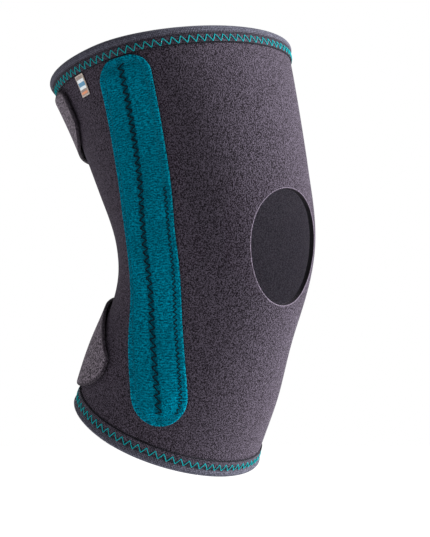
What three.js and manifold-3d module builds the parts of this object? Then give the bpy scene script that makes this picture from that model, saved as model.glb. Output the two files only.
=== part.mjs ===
// A soft wrap-round knee brace in the bent shape that it takes when worn: a foam wrap with a kneecap hole,
// bound hems, a padded strip over the stay on each side, and two tabs that close it at the back.
// Millimetres, +Z up. The wearer faces -Y, and the outer side of the leg is towards -X.
// The origin is the middle of the knee, on the middle line of the leg.
import * as THREE from "three";
import { mergeVertices } from "three/addons/utils/BufferGeometryUtils.js";
import Module from "manifold-3d";

// The leg that the brace takes its shape from
const WRAP_LENGTH = 218; // hem to hem along the middle line
const KNEE_HALF_WIDTH = 53.5;
const KNEE_DEPTH = 109.5; // front to back over the wrap
const UPPER_HEM_TILT = -7.4; // degrees that each hem is turned from square to the leg
const LOWER_HEM_TILT = -10.3;
const HEM_TILT_REACH = 0.3; // share of the length over which the turn fades out

// One row for each section, evenly spaced from the lower hem to the upper hem. lean is in degrees, positive
// where the leg goes backwards on its way up. halfWidth is a share of the knee's half width, and front and
// back are shares of its depth, from the middle line. outerStay and innerStay are the angles of the two side
// strips round the leg, in degrees from the front. stayWidth is a share of a strip's width, which is
// stretched where it goes over the side of the knee.
const LEG_SECTIONS = [
  { lean: -17, halfWidth: 1.03, front: 0.43, back: 0.495, outerStay: 40.5, innerStay: 66, stayWidth: 0.86 },
  { lean: -21, halfWidth: 0.99, front: 0.484, back: 0.477, outerStay: 60.2, innerStay: 71, stayWidth: 0.86 },
  { lean: -17, halfWidth: 0.94, front: 0.493, back: 0.43, outerStay: 77.5, innerStay: 79, stayWidth: 0.945 },
  { lean: 0.5, halfWidth: 1.0, front: 0.566, back: 0.434, outerStay: 85.7, innerStay: 85, stayWidth: 1.1 },
  { lean: 9.5, halfWidth: 1.065, front: 0.535, back: 0.534, outerStay: 83.1, innerStay: 84, stayWidth: 1.0 },
  { lean: 14, halfWidth: 1.13, front: 0.518, back: 0.627, outerStay: 80.3, innerStay: 82, stayWidth: 0.925 },
  { lean: 20, halfWidth: 1.27, front: 0.493, back: 0.707, outerStay: 74.9, innerStay: 76, stayWidth: 0.895 },
];

// Foam wrap
const WRAP_WALL = 3;
const BACK_GAP = 22; // between the two back edges
const HOLLOW_WIDTH = 62; // of the opening behind the knee
const HOLLOW_HEIGHT = 92;
const HOLLOW_RISE = 11; // of its middle above the middle of the wrap
const KNEECAP_WIDTH = 54; // of the hole in front
const KNEECAP_HEIGHT = 63;
const SEAM_CLEARANCE = 0.3; // between pieces that are sewn or pressed together

// Bound hems
const BINDING_WIDTH = 10.5;
const BINDING_TAPE = 1;

// Side strips
const STAY_WIDTH = 34; // flat
const STAY_ABOVE_HEM = 22.4; // lower end of the strip above the lower hem
const STAY_TOP_CORNER = 11;
const STAY_BOTTOM_CORNER = 14.5;
const STAY_EDGE = 1.2; // thickness at the seams
const STAY_LOBE = 3; // thickness of the two padded lobes
const STAY_FULLNESS = 0.7; // power of the lobe's rise, lower where it is fuller

// Closing tabs
const TAB_LENGTH = 94; // from the free nose round the back to the sewn end
const TAB_CLOTH = 1.8;
const UPPER_TAB_NOSE = 120.5; // degrees from the front
const LOWER_TAB_NOSE = 99;
const UPPER_TAB_MIDDLE = 0.877; // share of the wrap's length at which the hooks lie
const LOWER_TAB_MIDDLE = 0.163;
const HOOK_LENGTH = 28;
const HOOK_WIDTH = 18;
const HOOK_CLOTH = 0.8;
const HOOK_FROM_NOSE = 9;

// Each row is a place along a tab. along is a share of the tab's length from its nose. hem is the distance
// of the long edge from the binding and inner is the height of the other edge, both as shares of the wrap's
// length.
const UPPER_TAB_OUTLINE = [
  { along: 0, hem: 0.024, inner: 0.864 },
  { along: 0.015, hem: 0.014, inner: 0.85 },
  { along: 0.045, hem: 0.007, inner: 0.833 },
  { along: 0.085, hem: 0.004, inner: 0.816 },
  { along: 0.15, hem: 0.004, inner: 0.8 },
  { along: 0.3, hem: 0.004, inner: 0.79 },
  { along: 0.53, hem: 0.004, inner: 0.788 },
  { along: 0.76, hem: 0.004, inner: 0.788 },
  { along: 1, hem: 0.004, inner: 0.79 },
];
const LOWER_TAB_OUTLINE = [
  { along: 0, hem: 0.115, inner: 0.184 },
  { along: 0.02, hem: 0.09, inner: 0.196 },
  { along: 0.075, hem: 0.06, inner: 0.212 },
  { along: 0.15, hem: 0.037, inner: 0.238 },
  { along: 0.28, hem: 0.012, inner: 0.277 },
  { along: 0.42, hem: 0.004, inner: 0.298 },
  { along: 0.61, hem: 0.004, inner: 0.305 },
  { along: 0.8, hem: 0.004, inner: 0.304 },
  { along: 1, hem: 0.004, inner: 0.3 },
];

// Woven label
const LABEL_WIDTH = 7.5;
const LABEL_HEIGHT = 12.5;
const LABEL_CLOTH = 0.6;
const LABEL_ANGLE = 105; // degrees from the front

const radians = THREE.MathUtils.degToRad;
const { lerp, clamp } = THREE.MathUtils;

// A smooth curve through the values of one column, for a share from 0 to 1.
function through(values, share) {
  const last = values.length - 1;
  const at = clamp(share, 0, 1) * last;
  const i = Math.min(Math.floor(at), last - 1);
  const t = at - i;
  const [b, c] = [values[i], values[i + 1]];
  const a = i > 0 ? values[i - 1] : 2 * b - c;
  const d = i + 2 <= last ? values[i + 2] : 2 * c - b;
  return (
    b +
    0.5 * t * (c - a + t * (2 * a - 5 * b + 4 * c - d + t * (3 * (b - c) + d - a)))
  );
}

const columns = Object.fromEntries(
  Object.keys(LEG_SECTIONS[0]).map((name) => [name, LEG_SECTIONS.map((row) => row[name])]),
);

// The middle line of the leg, as points from hem to hem with the origin halfway.
const MIDDLE_STEPS = 80;
const middleLine = (() => {
  const points = [new THREE.Vector2(0, 0)];
  for (let i = 0; i < MIDDLE_STEPS; i += 1) {
    const lean = radians(through(columns.lean, (i + 0.5) / MIDDLE_STEPS));
    const step = new THREE.Vector2(Math.sin(lean), Math.cos(lean));
    points.push(points[i].clone().addScaledVector(step, WRAP_LENGTH / MIDDLE_STEPS));
  }
  const knee = points[MIDDLE_STEPS / 2].clone();
  return points.map((point) => point.sub(knee));
})();

// A point on the outside of the wrap. angle is in degrees from the front, positive towards the outer side.
// share runs from 0 at the lower hem to 1 at the upper hem.
function legPoint(angle, share) {
  const at = clamp(share, 0, 1) * MIDDLE_STEPS;
  const i = Math.min(Math.floor(at), MIDDLE_STEPS - 1);
  const middle = middleLine[i].clone().lerp(middleLine[i + 1], at - i);
  const above = clamp((share - 1 + HEM_TILT_REACH) / HEM_TILT_REACH, 0, 1);
  const below = clamp((HEM_TILT_REACH - share) / HEM_TILT_REACH, 0, 1);
  const tilt = UPPER_HEM_TILT * above ** 2 + LOWER_HEM_TILT * below ** 2;
  const slope = radians(through(columns.lean, share) + tilt);
  const forward = Math.cos(radians(angle));
  const depth = KNEE_DEPTH * through(forward > 0 ? columns.front : columns.back, share);
  const halfWidth = KNEE_HALF_WIDTH * through(columns.halfWidth, share);
  return new THREE.Vector3(
    -halfWidth * Math.sin(radians(angle)),
    middle.x - depth * forward * Math.cos(slope),
    middle.y + depth * forward * Math.sin(slope),
  );
}

// How far the outside runs for one degree round the leg, and for the whole of a share along it.
const NEAR = 0.002;
function perDegree(angle, share) {
  return legPoint(angle + 1, share).distanceTo(legPoint(angle - 1, share)) / 2;
}
function perShare(angle, share) {
  const [from, to] = [Math.max(share - NEAR, 0), Math.min(share + NEAR, 1)];
  return legPoint(angle, to).distanceTo(legPoint(angle, from)) / (to - from);
}

// A point at a height above the outside of the wrap, or below it where the height is negative.
function skin(angle, share, height) {
  const along = legPoint(angle, Math.min(share + NEAR, 1)).sub(
    legPoint(angle, Math.max(share - NEAR, 0)),
  );
  const round = legPoint(angle + 1, share).sub(legPoint(angle - 1, share));
  const outward = along.cross(round).normalize();
  return legPoint(angle, share).addScaledVector(outward, height);
}

// The triangles that fill a flat outline, turned the way the outline runs.
function fill(outline) {
  const turn = Math.sign(THREE.ShapeUtils.area(outline));
  return THREE.ShapeUtils.triangulateShape(outline, []).map(([a, b, c]) => {
    const side = THREE.ShapeUtils.area([outline[a], outline[b], outline[c]]);
    return Math.sign(side) === turn ? [a, b, c] : [a, c, b];
  });
}

// A closed solid through sections. Each section is a closed ring of points, and cap holds the triangles that
// close the two ends.
function sweep(rings, cap) {
  const size = rings[0].length;
  const end = (rings.length - 1) * size;
  const index = [];
  for (let i = 0; i + 1 < rings.length; i += 1) {
    for (let j = 0; j < size; j += 1) {
      const [a, b] = [i * size + j, i * size + ((j + 1) % size)];
      index.push(a, b + size, b, a, a + size, b + size);
    }
  }
  for (const [a, b, c] of cap) {
    index.push(a, b, c, end + a, end + c, end + b);
  }
  const position = rings.flat().flatMap((point) => point.toArray());
  const geometry = new THREE.BufferGeometry();
  geometry.setAttribute("position", new THREE.Float32BufferAttribute(position, 3));
  geometry.setIndex(index);
  return geometry;
}

// A sheet that lies on the leg. place(u, v) gives its angle, share, low height and high height, with u
// round the leg and v up it.
function sheet(stepsRound, stepsUp, place) {
  const rings = [];
  for (let i = 0; i <= stepsRound; i += 1) {
    const low = [];
    const high = [];
    for (let j = 0; j <= stepsUp; j += 1) {
      const spot = place(i / stepsRound, j / stepsUp);
      low.push(skin(spot.angle, spot.share, spot.low));
      high.push(skin(spot.angle, spot.share, spot.high));
    }
    rings.push([...low, ...high.reverse()]);
  }
  const edge = [];
  const last = 2 * stepsUp + 1;
  for (let j = 0; j < stepsUp; j += 1) {
    edge.push([j, j + 1, last - j - 1], [j, last - j - 1, last - j]);
  }
  return sweep(rings, edge);
}

// Cutting one closed geometry with another
const manifold = await Module();
manifold.setup();

function toSolid(geometry) {
  const bare = geometry.clone();
  bare.deleteAttribute("normal");
  bare.deleteAttribute("uv");
  const merged = mergeVertices(bare);
  return new manifold.Manifold(
    new manifold.Mesh({
      numProp: 3,
      vertProperties: merged.attributes.position.array,
      triVerts: new Uint32Array(merged.index.array),
    }),
  );
}

function cut(geometry, tool) {
  const mesh = toSolid(geometry).subtract(toSolid(tool)).getMesh();
  const result = new THREE.BufferGeometry();
  result.setAttribute("position", new THREE.BufferAttribute(mesh.vertProperties, 3));
  result.setIndex(new THREE.BufferAttribute(mesh.triVerts, 1));
  return result;
}

// The angle of the wrap's back edge at a share of the length, from half the width of the opening there.
const BACK = 180;
function backEdge(share) {
  const middle = 0.5 + HOLLOW_RISE / WRAP_LENGTH;
  const off = ((share - middle) * WRAP_LENGTH) / (HOLLOW_HEIGHT / 2);
  const bow = Math.sqrt(Math.max(0, 1 - off ** 2));
  const half = lerp(BACK_GAP / 2, HOLLOW_WIDTH / 2, bow);
  return BACK - half / perDegree(BACK, share);
}

// The share of the length at a distance in from the upper or lower hem.
function fromUpperHem(angle, distance) {
  return 1 - distance / perShare(angle, 1);
}
function fromLowerHem(angle, distance) {
  return distance / perShare(angle, 0);
}

const WRAP_STEPS_ROUND = 44;
const WRAP_STEPS_UP = 26;
function bodyPanel() {
  const inset = BINDING_TAPE + SEAM_CLEARANCE;
  const panel = sheet(WRAP_STEPS_ROUND, WRAP_STEPS_UP, (u, v) => {
    const edge = backEdge(v);
    const angle = lerp(-edge, edge, u);
    const share = lerp(fromLowerHem(angle, inset), fromUpperHem(angle, inset), v);
    return { angle, share, low: -WRAP_WALL, high: 0 };
  });
  return cut(panel, kneecapCutter());
}

// The hole in front is cut square to the wrap, so its cutter spreads outwards as the wrap does.
const KNEECAP_SIDES = 40;
function kneecapCutter() {
  const reach = KNEECAP_WIDTH / 2;
  const outline = Array.from({ length: KNEECAP_SIDES }, (_, i) => {
    const turn = (i / KNEECAP_SIDES) * 2 * Math.PI;
    return new THREE.Vector2(Math.cos(turn), Math.sin(turn));
  });
  const rings = [-reach, reach].map((height) =>
    outline.map(({ x, y }) => {
      const share = 0.5 + ((KNEECAP_HEIGHT / 2) * y) / perShare(0, 0.5);
      const angle = ((KNEECAP_WIDTH / 2) * x) / perDegree(0, share);
      return skin(angle, share, height);
    }),
  );
  return sweep(rings, fill(outline));
}

// Folded tape over a hem, swept from one back edge to the other. In its section, x is the distance in from
// the fold and y the height above the outside of the wrap.
function binding(hem, fromHem) {
  const outer = SEAM_CLEARANCE;
  const inner = -WRAP_WALL - SEAM_CLEARANCE;
  const soft = BINDING_TAPE / 2;
  const shoulder = BINDING_TAPE + SEAM_CLEARANCE;
  const section = [
    [BINDING_WIDTH, outer],
    [BINDING_WIDTH - soft, outer + BINDING_TAPE],
    [shoulder, outer + BINDING_TAPE],
    [0, outer - soft],
    [0, inner + soft],
    [shoulder, inner - BINDING_TAPE],
    [BINDING_WIDTH - soft, inner - BINDING_TAPE],
    [BINDING_WIDTH, inner],
    [BINDING_TAPE, inner],
    [BINDING_TAPE, outer],
  ].map(([x, y]) => new THREE.Vector2(x, y));
  const outline = hem === 1 ? section.reverse() : section;
  const edge = backEdge(hem);
  const rings = [];
  for (let i = 0; i <= WRAP_STEPS_ROUND; i += 1) {
    const angle = lerp(-edge, edge, i / WRAP_STEPS_ROUND);
    rings.push(outline.map(({ x, y }) => skin(angle, fromHem(angle, x), y)));
  }
  return sweep(rings, fill(outline));
}

// How far a rounded corner comes in, at a distance from the end of a strip.
function cornerInset(distance, radius) {
  const into = Math.max(0, radius - distance);
  return radius - Math.sqrt(radius ** 2 - into ** 2);
}

// The share of the wrap's length at a share of a strip's length, and the angle of the strip's middle there.
const STAY_TOP_GAP = BINDING_WIDTH + SEAM_CLEARANCE;
function stayMiddle(side, up) {
  const nominal = lerp(STAY_ABOVE_HEM / WRAP_LENGTH, 1 - STAY_TOP_GAP / WRAP_LENGTH, up);
  return { nominal, angle: side * through(columns[side > 0 ? "outerStay" : "innerStay"], nominal) };
}

// The same share between the hems at another angle.
function betweenHems(angle, up) {
  return lerp(fromLowerHem(angle, STAY_ABOVE_HEM), fromUpperHem(angle, STAY_TOP_GAP), up);
}

// How far a step round the leg runs along the strip, for each unit of the step. It fades out at the top,
// where the strip's end lies along the binding.
const STAY_SQUARE_UNTIL = 0.75;
function staySlant(side, up) {
  const at = (angle, place) => legPoint(angle, betweenHems(angle, place));
  const middle = stayMiddle(side, up).angle;
  const round = at(middle + 1, up).sub(at(middle - 1, up)).normalize();
  const ends = [up + NEAR, up - NEAR].map((place) => at(stayMiddle(side, place).angle, place));
  const along = ends[0].sub(ends[1]).normalize();
  return round.dot(along) * (1 - THREE.MathUtils.smoothstep(up, STAY_SQUARE_UNTIL, 1));
}

// The padded strip down one side, with a seam along its middle between two lobes.
const STAY_STEPS_ACROSS = 8;
const STAY_STEPS_UP = 22;
function stayCover(side) {
  return sheet(STAY_STEPS_ACROSS, STAY_STEPS_UP, (u, v) => {
    const up = 0.5 - 0.5 * Math.cos(Math.PI * v);
    const { nominal, angle: middle } = stayMiddle(side, up);
    const fromBottom = nominal * WRAP_LENGTH - STAY_ABOVE_HEM;
    const fromTop = (1 - nominal) * WRAP_LENGTH - STAY_TOP_GAP;
    const halfWidth =
      (STAY_WIDTH / 2) * through(columns.stayWidth, nominal) -
      cornerInset(fromTop, STAY_TOP_CORNER) -
      cornerInset(fromBottom, STAY_BOTTOM_CORNER);
    const off = lerp(-halfWidth, halfWidth, u);
    const angle = middle + off / perDegree(middle, nominal);
    const level = betweenHems(angle, up);
    const share = level - (off * staySlant(side, up)) / perShare(angle, level);
    const nearEnd = Math.min(fromTop, fromBottom);
    const fade = 1 - cornerInset(nearEnd, STAY_TOP_CORNER) / STAY_TOP_CORNER;
    const lobe = Math.abs(Math.sin(2 * Math.PI * u)) ** STAY_FULLNESS;
    const thickness = STAY_EDGE + (STAY_LOBE - STAY_EDGE) * lobe * fade;
    return { angle, share, low: SEAM_CLEARANCE, high: SEAM_CLEARANCE + thickness };
  });
}

const TAB_SEWN_FROM = 0.9; // share of a tab's length from which it lies flat on the wrap

// How far a tab's underside stands off the wrap: over the hook patch at its nose, and down at its sewn end.
function tabLift(along) {
  const hookEnd = (HOOK_FROM_NOSE + HOOK_LENGTH) / TAB_LENGTH;
  const down = THREE.MathUtils.smoothstep(along, hookEnd, TAB_SEWN_FROM);
  return SEAM_CLEARANCE + (HOOK_CLOTH + SEAM_CLEARANCE) * (1 - down);
}

// The angle at a distance back from a tab's nose, by the leg's girth between its outer side and its back.
const OUTER_BACK = 150;
function behindNose(tab, distance) {
  return tab.nose + distance / perDegree(OUTER_BACK, tab.middle);
}

// A tab's own cloth, from its rounded nose to its sewn end on the far side of the back gap.
const TAB_STEPS_ROUND = 24;
const TAB_STEPS_UP = 7;
function closureTab(tab) {
  const column = (name) => tab.outline.map((row) => row[name]);
  const [alongs, hems, inners] = ["along", "hem", "inner"].map(column);
  return sheet(TAB_STEPS_ROUND, TAB_STEPS_UP, (u, v) => {
    const along = through(alongs, u);
    const angle = behindNose(tab, along * TAB_LENGTH);
    const byHem = tab.byHem(angle, through(hems, u));
    const inner = through(inners, u);
    const share = lerp(Math.min(byHem, inner), Math.max(byHem, inner), v);
    const low = tabLift(along);
    return { angle, share, low, high: low + TAB_CLOTH };
  });
}

// The patch of hooks that holds a tab's free end down.
const HOOK_STEPS_ROUND = 5;
const HOOK_STEPS_UP = 3;
function hookPatch(tab) {
  const half = HOOK_WIDTH / 2;
  return sheet(HOOK_STEPS_ROUND, HOOK_STEPS_UP, (u, v) => {
    const angle = behindNose(tab, HOOK_FROM_NOSE + u * HOOK_LENGTH);
    const share = tab.middle + lerp(-half, half, v) / perShare(angle, tab.middle);
    return { angle, share, low: SEAM_CLEARANCE, high: SEAM_CLEARANCE + HOOK_CLOTH };
  });
}

const upperTab = {
  nose: UPPER_TAB_NOSE,
  middle: UPPER_TAB_MIDDLE,
  outline: UPPER_TAB_OUTLINE,
  byHem: (angle, hem) => fromUpperHem(angle, BINDING_WIDTH) - hem,
};
const lowerTab = {
  nose: LOWER_TAB_NOSE,
  middle: LOWER_TAB_MIDDLE,
  outline: LOWER_TAB_OUTLINE,
  byHem: (angle, hem) => fromLowerHem(angle, BINDING_WIDTH) + hem,
};

// The label hangs from the seam of the upper binding.
const LABEL_STEPS_ROUND = 3;
const LABEL_STEPS_UP = 4;
function wovenLabel() {
  return sheet(LABEL_STEPS_ROUND, LABEL_STEPS_UP, (u, v) => {
    const top = fromUpperHem(LABEL_ANGLE, BINDING_WIDTH + SEAM_CLEARANCE);
    const share = top - ((1 - v) * LABEL_HEIGHT) / perShare(LABEL_ANGLE, top);
    const angle = LABEL_ANGLE + lerp(-0.5, 0.5, u) * (LABEL_WIDTH / perDegree(LABEL_ANGLE, top));
    return { angle, share, low: SEAM_CLEARANCE, high: SEAM_CLEARANCE + LABEL_CLOTH };
  });
}

// Cloth colours
const CLOTHS = {
  foam: { color: "#55505c", roughness: 0.95 },
  tape: { color: "#5c5d68", roughness: 0.85 },
  velour: { color: "#0f6672", roughness: 0.9 },
  loop: { color: "#6d6a74", roughness: 0.95 },
  hook: { color: "#2a2a2e", roughness: 0.7 },
  label: { color: "#a0927f", roughness: 0.8 },
};

const brace = new THREE.Group();
function add(name, cloth, geometry) {
  geometry.computeVertexNormals();
  const material = new THREE.MeshStandardMaterial({ ...CLOTHS[cloth], metalness: 0 });
  const mesh = new THREE.Mesh(geometry, material);
  mesh.name = name;
  brace.add(mesh);
}

add("body_panel", "foam", bodyPanel());
add("top_binding", "tape", binding(1, fromUpperHem));
add("bottom_binding", "tape", binding(0, fromLowerHem));
add("lateral_stay_cover", "velour", stayCover(1));
add("medial_stay_cover", "velour", stayCover(-1));
add("upper_closure_tab", "loop", closureTab(upperTab));
add("lower_closure_tab", "loop", closureTab(lowerTab));
add("upper_hook_patch", "hook", hookPatch(upperTab));
add("lower_hook_patch", "hook", hookPatch(lowerTab));
add("woven_label", "label", wovenLabel());

export default brace;
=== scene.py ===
# %% [markdown]
# # A soft knee brace in the shape that it takes on the leg
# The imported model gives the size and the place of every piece. This lesson makes each piece again as
# what it is: laminated foam, folded tape, padded velour, loop cloth and thread. The sizes at the head of
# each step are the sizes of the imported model, in metres.

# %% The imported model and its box
import math

import bmesh
import bpy
import numpy as np
from mathutils import Matrix, Vector
from mathutils.bvhtree import BVHTree


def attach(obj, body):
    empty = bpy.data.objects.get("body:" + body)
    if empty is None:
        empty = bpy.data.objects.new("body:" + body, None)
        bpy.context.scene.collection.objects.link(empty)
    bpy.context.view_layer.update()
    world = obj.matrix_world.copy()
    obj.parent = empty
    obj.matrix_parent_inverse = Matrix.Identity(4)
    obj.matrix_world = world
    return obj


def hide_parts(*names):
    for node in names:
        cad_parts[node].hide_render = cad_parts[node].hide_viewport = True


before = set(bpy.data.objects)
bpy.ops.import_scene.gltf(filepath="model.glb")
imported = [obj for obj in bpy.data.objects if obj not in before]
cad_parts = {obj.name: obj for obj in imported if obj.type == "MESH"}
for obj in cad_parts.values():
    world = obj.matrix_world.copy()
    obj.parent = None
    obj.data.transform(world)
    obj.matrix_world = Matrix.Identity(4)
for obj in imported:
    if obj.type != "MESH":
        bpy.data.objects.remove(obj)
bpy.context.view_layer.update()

print("nodes:", sorted(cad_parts))

# %% [markdown]
# ## The camera
# A picture of a worn brace is taken from a little over a metre away with a long lens. The place, the turn
# and the lens here come from fitting the hems, the strip and the hole of the model to the picture, so
# nothing has to be judged by eye. It comes first, because every later step is looked at through it.

# %% The camera
CAMERA_AIM = Vector((0.0027, -0.0023, -0.0119))
CAMERA_DISTANCE = 1.2983
CAMERA_RIGHT = Vector((0.6747, -0.7381, 0.0))
CAMERA_BACK = Vector((-0.7375, -0.6742, -0.0400))
CAMERA_LENS = 158.25

camera_data = bpy.data.cameras.new("camera")
camera_data.lens = CAMERA_LENS
camera_data.sensor_width = 36
camera = bpy.data.objects.new("camera", camera_data)
bpy.context.collection.objects.link(camera)
back = CAMERA_BACK.normalized()
right = (CAMERA_RIGHT - back * CAMERA_RIGHT.dot(back)).normalized()
turn = Matrix((right, back.cross(right), back)).transposed()
camera.matrix_world = Matrix.Translation(CAMERA_AIM + back * CAMERA_DISTANCE) @ turn.to_4x4()
bpy.context.scene.camera = camera
print("camera at", [round(c, 3) for c in camera.location])

# %% [markdown]
# ## Nodes written as sums
# A material is easier to read as an expression than as a web of nodes. `Value` wraps one output, and
# Python's own operators add its Math nodes. `Nodes` adds any other node from its type, its settings and
# its inputs. The same two classes serve the materials and the geometry nodes.

# %% Sockets as values
def operator(operation, flipped=False):
    def apply(self, other):
        values = (other, self) if flipped else (self, other)
        return self.nodes.node("ShaderNodeMath", {"operation": operation}, *values)

    return apply


class Value:
    """One output of a node."""

    def __init__(self, nodes, socket):
        self.nodes, self.socket = nodes, socket

    __add__ = __radd__ = operator("ADD")
    __mul__ = __rmul__ = operator("MULTIPLY")
    __sub__, __rsub__ = operator("SUBTRACT"), operator("SUBTRACT", flipped=True)


class Nodes:
    """A tree of nodes, each added by its type."""

    def __init__(self, tree):
        self.tree = tree

    def node(self, kind, settings=None, *values, out=0, **inputs):
        made = self.tree.nodes.new(kind)
        for name, setting in (settings or {}).items():
            setattr(made, name, setting)
        for key, value in [*enumerate(values), *inputs.items()]:
            socket = made.inputs[key if isinstance(key, int) else key.replace("_", " ")]
            if isinstance(value, Value):
                self.tree.links.new(value.socket, socket)
            elif value is not None:
                socket.default_value = value
        return Value(self, made.outputs[out])


# %% [markdown]
# ## What a finish needs
# Each finish starts from the same few things: where a point lies on the piece, noise of a known grain
# size, a mix of two colours and a bump. Colours are given as they look on a screen, and turned into light.

# %% A finish
def colour(red, green, blue):
    """Screen values from 0 to 255 as light."""
    shares = [value / 255 for value in (red, green, blue)]
    return [s / 12.92 if s <= 0.04045 else ((s + 0.055) / 1.055) ** 2.4 for s in shares] + [1.0]


class Finish(Nodes):
    """A material with one shader."""

    def __init__(self, name, **constants):
        self.material = bpy.data.materials.new(name)
        self.material.use_nodes = True
        super().__init__(self.material.node_tree)
        self.shader = self.tree.nodes["Principled BSDF"]
        for key, value in constants.items():
            self.shader.inputs[key.replace("_", " ")].default_value = value

    def coordinates(self):
        return self.node("ShaderNodeTexCoord", out="Object")

    def across_and_along(self):
        """Distances on the cloth, in metres, across and along the piece."""
        place = self.node("ShaderNodeUVMap", {"uv_map": "UVMap"})
        parts = self.tree.nodes.new("ShaderNodeSeparateXYZ")
        self.tree.links.new(place.socket, parts.inputs[0])
        return Value(self, parts.outputs["X"]), Value(self, parts.outputs["Y"])

    def attribute(self, name):
        return self.node("ShaderNodeAttribute", {"attribute_name": name}, out="Fac")

    def noise(self, place, grain, detail=2.0):
        return self.node("ShaderNodeTexNoise", None, Vector=place, Scale=1 / grain, Detail=detail)

    def wave(self, distance, repeat, shift=0.0):
        """A wave from 0 to 1 along a distance."""
        turns = distance * (2 * math.pi / repeat) + shift
        return self.node("ShaderNodeMath", {"operation": "SINE"}, turns) * 0.5 + 0.5

    def between(self, value, low, high):
        """0 below low, 1 above high, and smooth between them."""
        settings = {"interpolation_type": "SMOOTHSTEP"}
        return self.node(
            "ShaderNodeMapRange", settings, Value=value, From_Min=low, From_Max=high
        )

    def mix(self, share, one, other):
        made = self.tree.nodes.new("ShaderNodeMix")
        made.data_type = "RGBA"
        for socket, value in zip((made.inputs[0], made.inputs[6], made.inputs[7]), (share, one, other)):
            if isinstance(value, Value):
                self.tree.links.new(value.socket, socket)
            else:
                socket.default_value = value
        return Value(self, made.outputs[2])

    def bump(self, height, distance, under=None):
        return self.node(
            "ShaderNodeBump", None, Height=height, Distance=distance, Normal=under, Strength=1.0
        )

    def done(self, **linked):
        for key, value in linked.items():
            self.tree.links.new(value.socket, self.shader.inputs[key.replace("_", " ")])
        print("finish", self.material.name, len(self.tree.nodes), "nodes")
        return self.material


# %% [markdown]
# ## The leg that the brace lies on
# Every piece is cut flat and then lies on one curved form, so the form comes first, as a function. A
# place on it is an angle round the leg, from the front towards the outer side, and a share of the way
# from the lower hem to the upper hem. All pieces then share the same curves, and none can drift off.

# %% The leg's sections
WRAP_LENGTH = 0.218
KNEE_HALF_WIDTH = 0.0535
KNEE_DEPTH = 0.1095
UPPER_HEM_TILT, LOWER_HEM_TILT, HEM_TILT_REACH = -7.4, -10.3, 0.3
SECTIONS = {
    "lean": [-17, -21, -17, 0.5, 9.5, 14, 20],
    "half_width": [1.03, 0.99, 0.94, 1.0, 1.065, 1.13, 1.27],
    "front": [0.43, 0.484, 0.493, 0.566, 0.535, 0.518, 0.493],
    "back": [0.495, 0.477, 0.43, 0.434, 0.534, 0.627, 0.707],
    "outer_stay": [40.5, 60.2, 77.5, 85.7, 83.1, 80.3, 74.9],
    "inner_stay": [66, 71, 79, 85, 84, 82, 76],
    "stay_width": [0.86, 0.86, 0.945, 1.1, 1.0, 0.925, 0.895],
}


def through(values, share):
    """A smooth curve through evenly spaced values."""
    values = np.asarray(values, float)
    ghosts = np.concatenate(
        [[2 * values[0] - values[1]], values, [2 * values[-1] - values[-2]]]
    )
    at = np.clip(share, 0, 1) * (len(values) - 1)
    i = np.minimum(np.floor(at).astype(int), len(values) - 2)
    t = at - i
    a, b, c, d = (ghosts[i + k] for k in range(4))
    return b + 0.5 * t * (c - a + t * (2 * a - 5 * b + 4 * c - d + t * (3 * (b - c) + d - a)))


MIDDLE_STEPS = 80
leans = np.radians(through(SECTIONS["lean"], (np.arange(MIDDLE_STEPS) + 0.5) / MIDDLE_STEPS))
steps = np.stack([np.sin(leans), np.cos(leans)], 1) * WRAP_LENGTH / MIDDLE_STEPS
middle_line = np.concatenate([[[0, 0]], np.cumsum(steps, 0)])
middle_line -= middle_line[MIDDLE_STEPS // 2]
print("middle line from", middle_line[0].round(4), "to", middle_line[-1].round(4))

# %% A point on the leg
NEAR = 0.002


def leg_point(angle, share):
    """The outside of the wrap."""
    angle, share = np.broadcast_arrays(np.asarray(angle, float), np.asarray(share, float))
    at = np.clip(share, 0, 1) * MIDDLE_STEPS
    i = np.minimum(np.floor(at).astype(int), MIDDLE_STEPS - 1)
    t = (at - i)[..., None]
    middle = middle_line[i] * (1 - t) + middle_line[i + 1] * t
    above = np.clip((share - 1 + HEM_TILT_REACH) / HEM_TILT_REACH, 0, 1)
    below = np.clip((HEM_TILT_REACH - share) / HEM_TILT_REACH, 0, 1)
    tilt = UPPER_HEM_TILT * above**2 + LOWER_HEM_TILT * below**2
    slope = np.radians(through(SECTIONS["lean"], share) + tilt)
    forward = np.cos(np.radians(angle))
    front, rear = (through(SECTIONS[name], share) for name in ("front", "back"))
    depth = KNEE_DEPTH * np.where(forward > 0, front, rear)
    half_width = KNEE_HALF_WIDTH * through(SECTIONS["half_width"], share)
    return np.stack(
        [
            -half_width * np.sin(np.radians(angle)),
            middle[..., 0] - depth * forward * np.cos(slope),
            middle[..., 1] + depth * forward * np.sin(slope),
        ],
        -1,
    )


def length(vectors):
    return np.linalg.norm(vectors, axis=-1)


def per_degree(angle, share):
    return length(leg_point(angle + 1, share) - leg_point(angle - 1, share)) / 2


def per_share(angle, share):
    low, high = np.maximum(share - NEAR, 0), np.minimum(share + NEAR, 1)
    return length(leg_point(angle, high) - leg_point(angle, low)) / (high - low)


def outward(angle, share):
    share = np.asarray(share, float)
    along = leg_point(angle, np.minimum(share + NEAR, 1)) - leg_point(
        angle, np.maximum(share - NEAR, 0)
    )
    normal = np.cross(along, leg_point(angle + 1, share) - leg_point(angle - 1, share))
    return normal / length(normal)[..., None]


def skin(angle, share, height):
    """A point at a height above the outside of the wrap."""
    return leg_point(angle, share) + outward(angle, share) * np.asarray(height)[..., None]


def from_upper_hem(angle, distance):
    return 1 - distance / per_share(angle, 1.0)


def from_lower_hem(angle, distance):
    return distance / per_share(angle, 0.0)


print("girth at the knee", round(sum(per_degree(np.arange(-180, 180), 0.5)), 3))

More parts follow.
